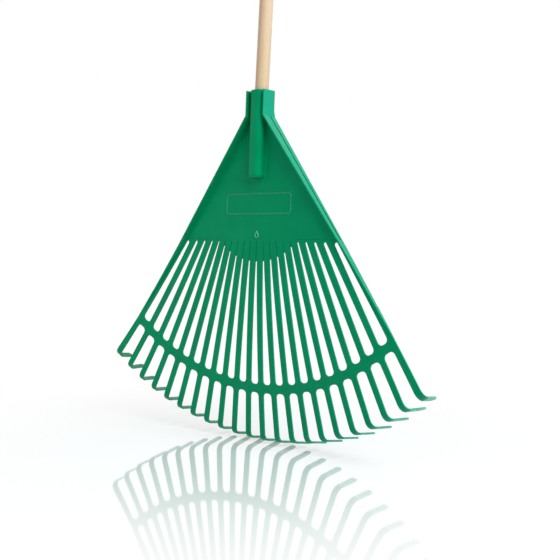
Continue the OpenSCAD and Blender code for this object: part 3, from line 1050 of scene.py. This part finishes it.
def handle_pole():
    """The round pole: a turned-down end in the socket, a long shaft and a domed top."""
    pole = bmesh.new()
    low = SOCKET_FLOOR - BOSS_DROP
    stations = handle_stations(low, low + HANDLE_LENGTH)
    bmesh.ops.create_circle(pole, cap_ends=True, segments=HANDLE_SEGMENTS, radius=SPIGOT_R)
    move(pole, pole.verts[:], (0, 0, low))
    cap = pole.faces[:]
    radius, height = stations[0]
    for n, (wide, high) in enumerate(stations[1:]):
        cap, ring = draw_out(pole, cap, keep=n == 0)
        bmesh.ops.scale(pole, verts=ring, vec=(wide / radius, wide / radius, 1))
        move(pole, ring, (0, 0, high - height))
        radius, height = wide, high
    bmesh.ops.poke(pole, faces=cap)
    face_outwards(pole)
    round_edges(pole, sharp_edges(pole), EDGE_ROUND)
    lean = Matrix.Rotation(-HANDLE_LEAN, 3, "X")
    bmesh.ops.rotate(pole, verts=pole.verts[:], cent=(0, 0, 0), matrix=lean)
    move(pole, pole.verts[:], APEX + Vector((0, HANDLE_OFFSET, 0)))
    finish_piece("handle_pole", pole, handle_wood, "handle_wood", "handle")


fan_head()
socket_boss()
handle_pole()
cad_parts["retaining_screw"].data.materials.clear()
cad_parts["retaining_screw"].data.materials.append(screw_steel)


# Studio

def shown_directly(nodes, links):
    """1 for what the camera sees straight, in a reflection or through glass; 0 for light on the object."""
    path = nodes.new("ShaderNodeLightPath")
    total = path.outputs["Is Camera Ray"]
    for name in ("Is Glossy Ray", "Is Transmission Ray"):
        total = combine(nodes, links, "MAXIMUM", total, path.outputs[name])
    return total


def white_floor():
    """A pale glossy floor with the object's shadow and reflection, fading to plain white further out."""
    material, nodes, links, shader = new_material("floor_white")
    set_inputs(shader, {
        "Base Color": FLOOR_COLOUR, "Roughness": 0.05, "Specular IOR Level": 0.8,
        "Coat Weight": 1.0, "Coat Roughness": 0.04, "Coat IOR": 3.0,
    })
    glow = add_node(nodes, "ShaderNodeEmission", {"Color": WHITE, "Strength": 1.0})
    away = add_node(nodes, "ShaderNodeVectorMath", operation="LENGTH")
    links.new(object_place(nodes), away.inputs[0])
    fade_range = {"From Min": FLOOR_NEAR, "From Max": FLOOR_FAR, "To Min": FLOOR_GLOW}
    fade = add_node(nodes, "ShaderNodeMapRange", fade_range, interpolation_type="SMOOTHSTEP")
    links.new(away.outputs["Value"], fade.inputs["Value"])
    share = combine(nodes, links, "MULTIPLY", fade.outputs["Result"], shown_directly(nodes, links))
    mix = nodes.new("ShaderNodeMixShader")
    links.new(share, mix.inputs["Fac"])
    links.new(shader.outputs["BSDF"], mix.inputs[1])
    links.new(glow.outputs["Emission"], mix.inputs[2])
    links.new(mix.outputs["Shader"], nodes["Material Output"].inputs["Surface"])
    disc = bmesh.new()
    bmesh.ops.create_circle(disc, cap_ends=True, segments=FLOOR_SEGMENTS, radius=FLOOR_R)
    floor = add_object("floor", finished_mesh("floor", disc, material))


def white_room():
    """White all round as a background, and a plain even level of light on the object."""
    world = bpy.data.worlds.new("studio")
    world.use_nodes = True
    nodes, links = world.node_tree.nodes, world.node_tree.links
    level = add_node(nodes, "ShaderNodeMapRange", {"To Min": ROOM_LIGHT, "To Max": 1.0})
    links.new(shown_directly(nodes, links), level.inputs["Value"])
    background = nodes["Background"]
    set_inputs(background, {"Color": WHITE})
    links.new(level.outputs["Result"], background.inputs["Strength"])
    bpy.context.scene.world = world


def soft_lamp(name, spot, aim, power, size, colour=(1, 1, 1)):
    """A square lamp, left out of reflections so that the glossy floor shows no lamp."""
    lamp = bpy.data.lights.new(name, "AREA")
    lamp.energy = power
    lamp.color = colour
    lamp.size = size
    holder = add_object(name, lamp)
    holder.location = spot
    holder.rotation_euler = (Vector(aim) - Vector(spot)).to_track_quat("-Z", "Y").to_euler()
    holder.visible_glossy = False


def camera():
    data = bpy.data.cameras.new("camera")
    data.lens = CAMERA_LENS
    data.sensor_width = CAMERA_SENSOR
    eye = add_object("camera", data)
    eye.location = APEX + CAMERA_PLACE
    eye.rotation_euler = CAMERA_TURN
    bpy.context.scene.camera = eye


white_floor()
white_room()
soft_lamp("key", spot=(2.1, -0.6, 1.8), aim=(0, 0, 0.35), power=112, size=2.0, colour=(0.76, 0.92, 1.0))
soft_lamp("fill", spot=(-0.6, -2.6, 1.2), aim=(0, 0, 0.35), power=12, size=1.8)
soft_lamp("side", spot=(-2.4, 0.3, 1.3), aim=(0, 0, 0.5), power=18, size=1.2)
camera()
bpy.context.scene.view_settings.view_transform = "Standard"
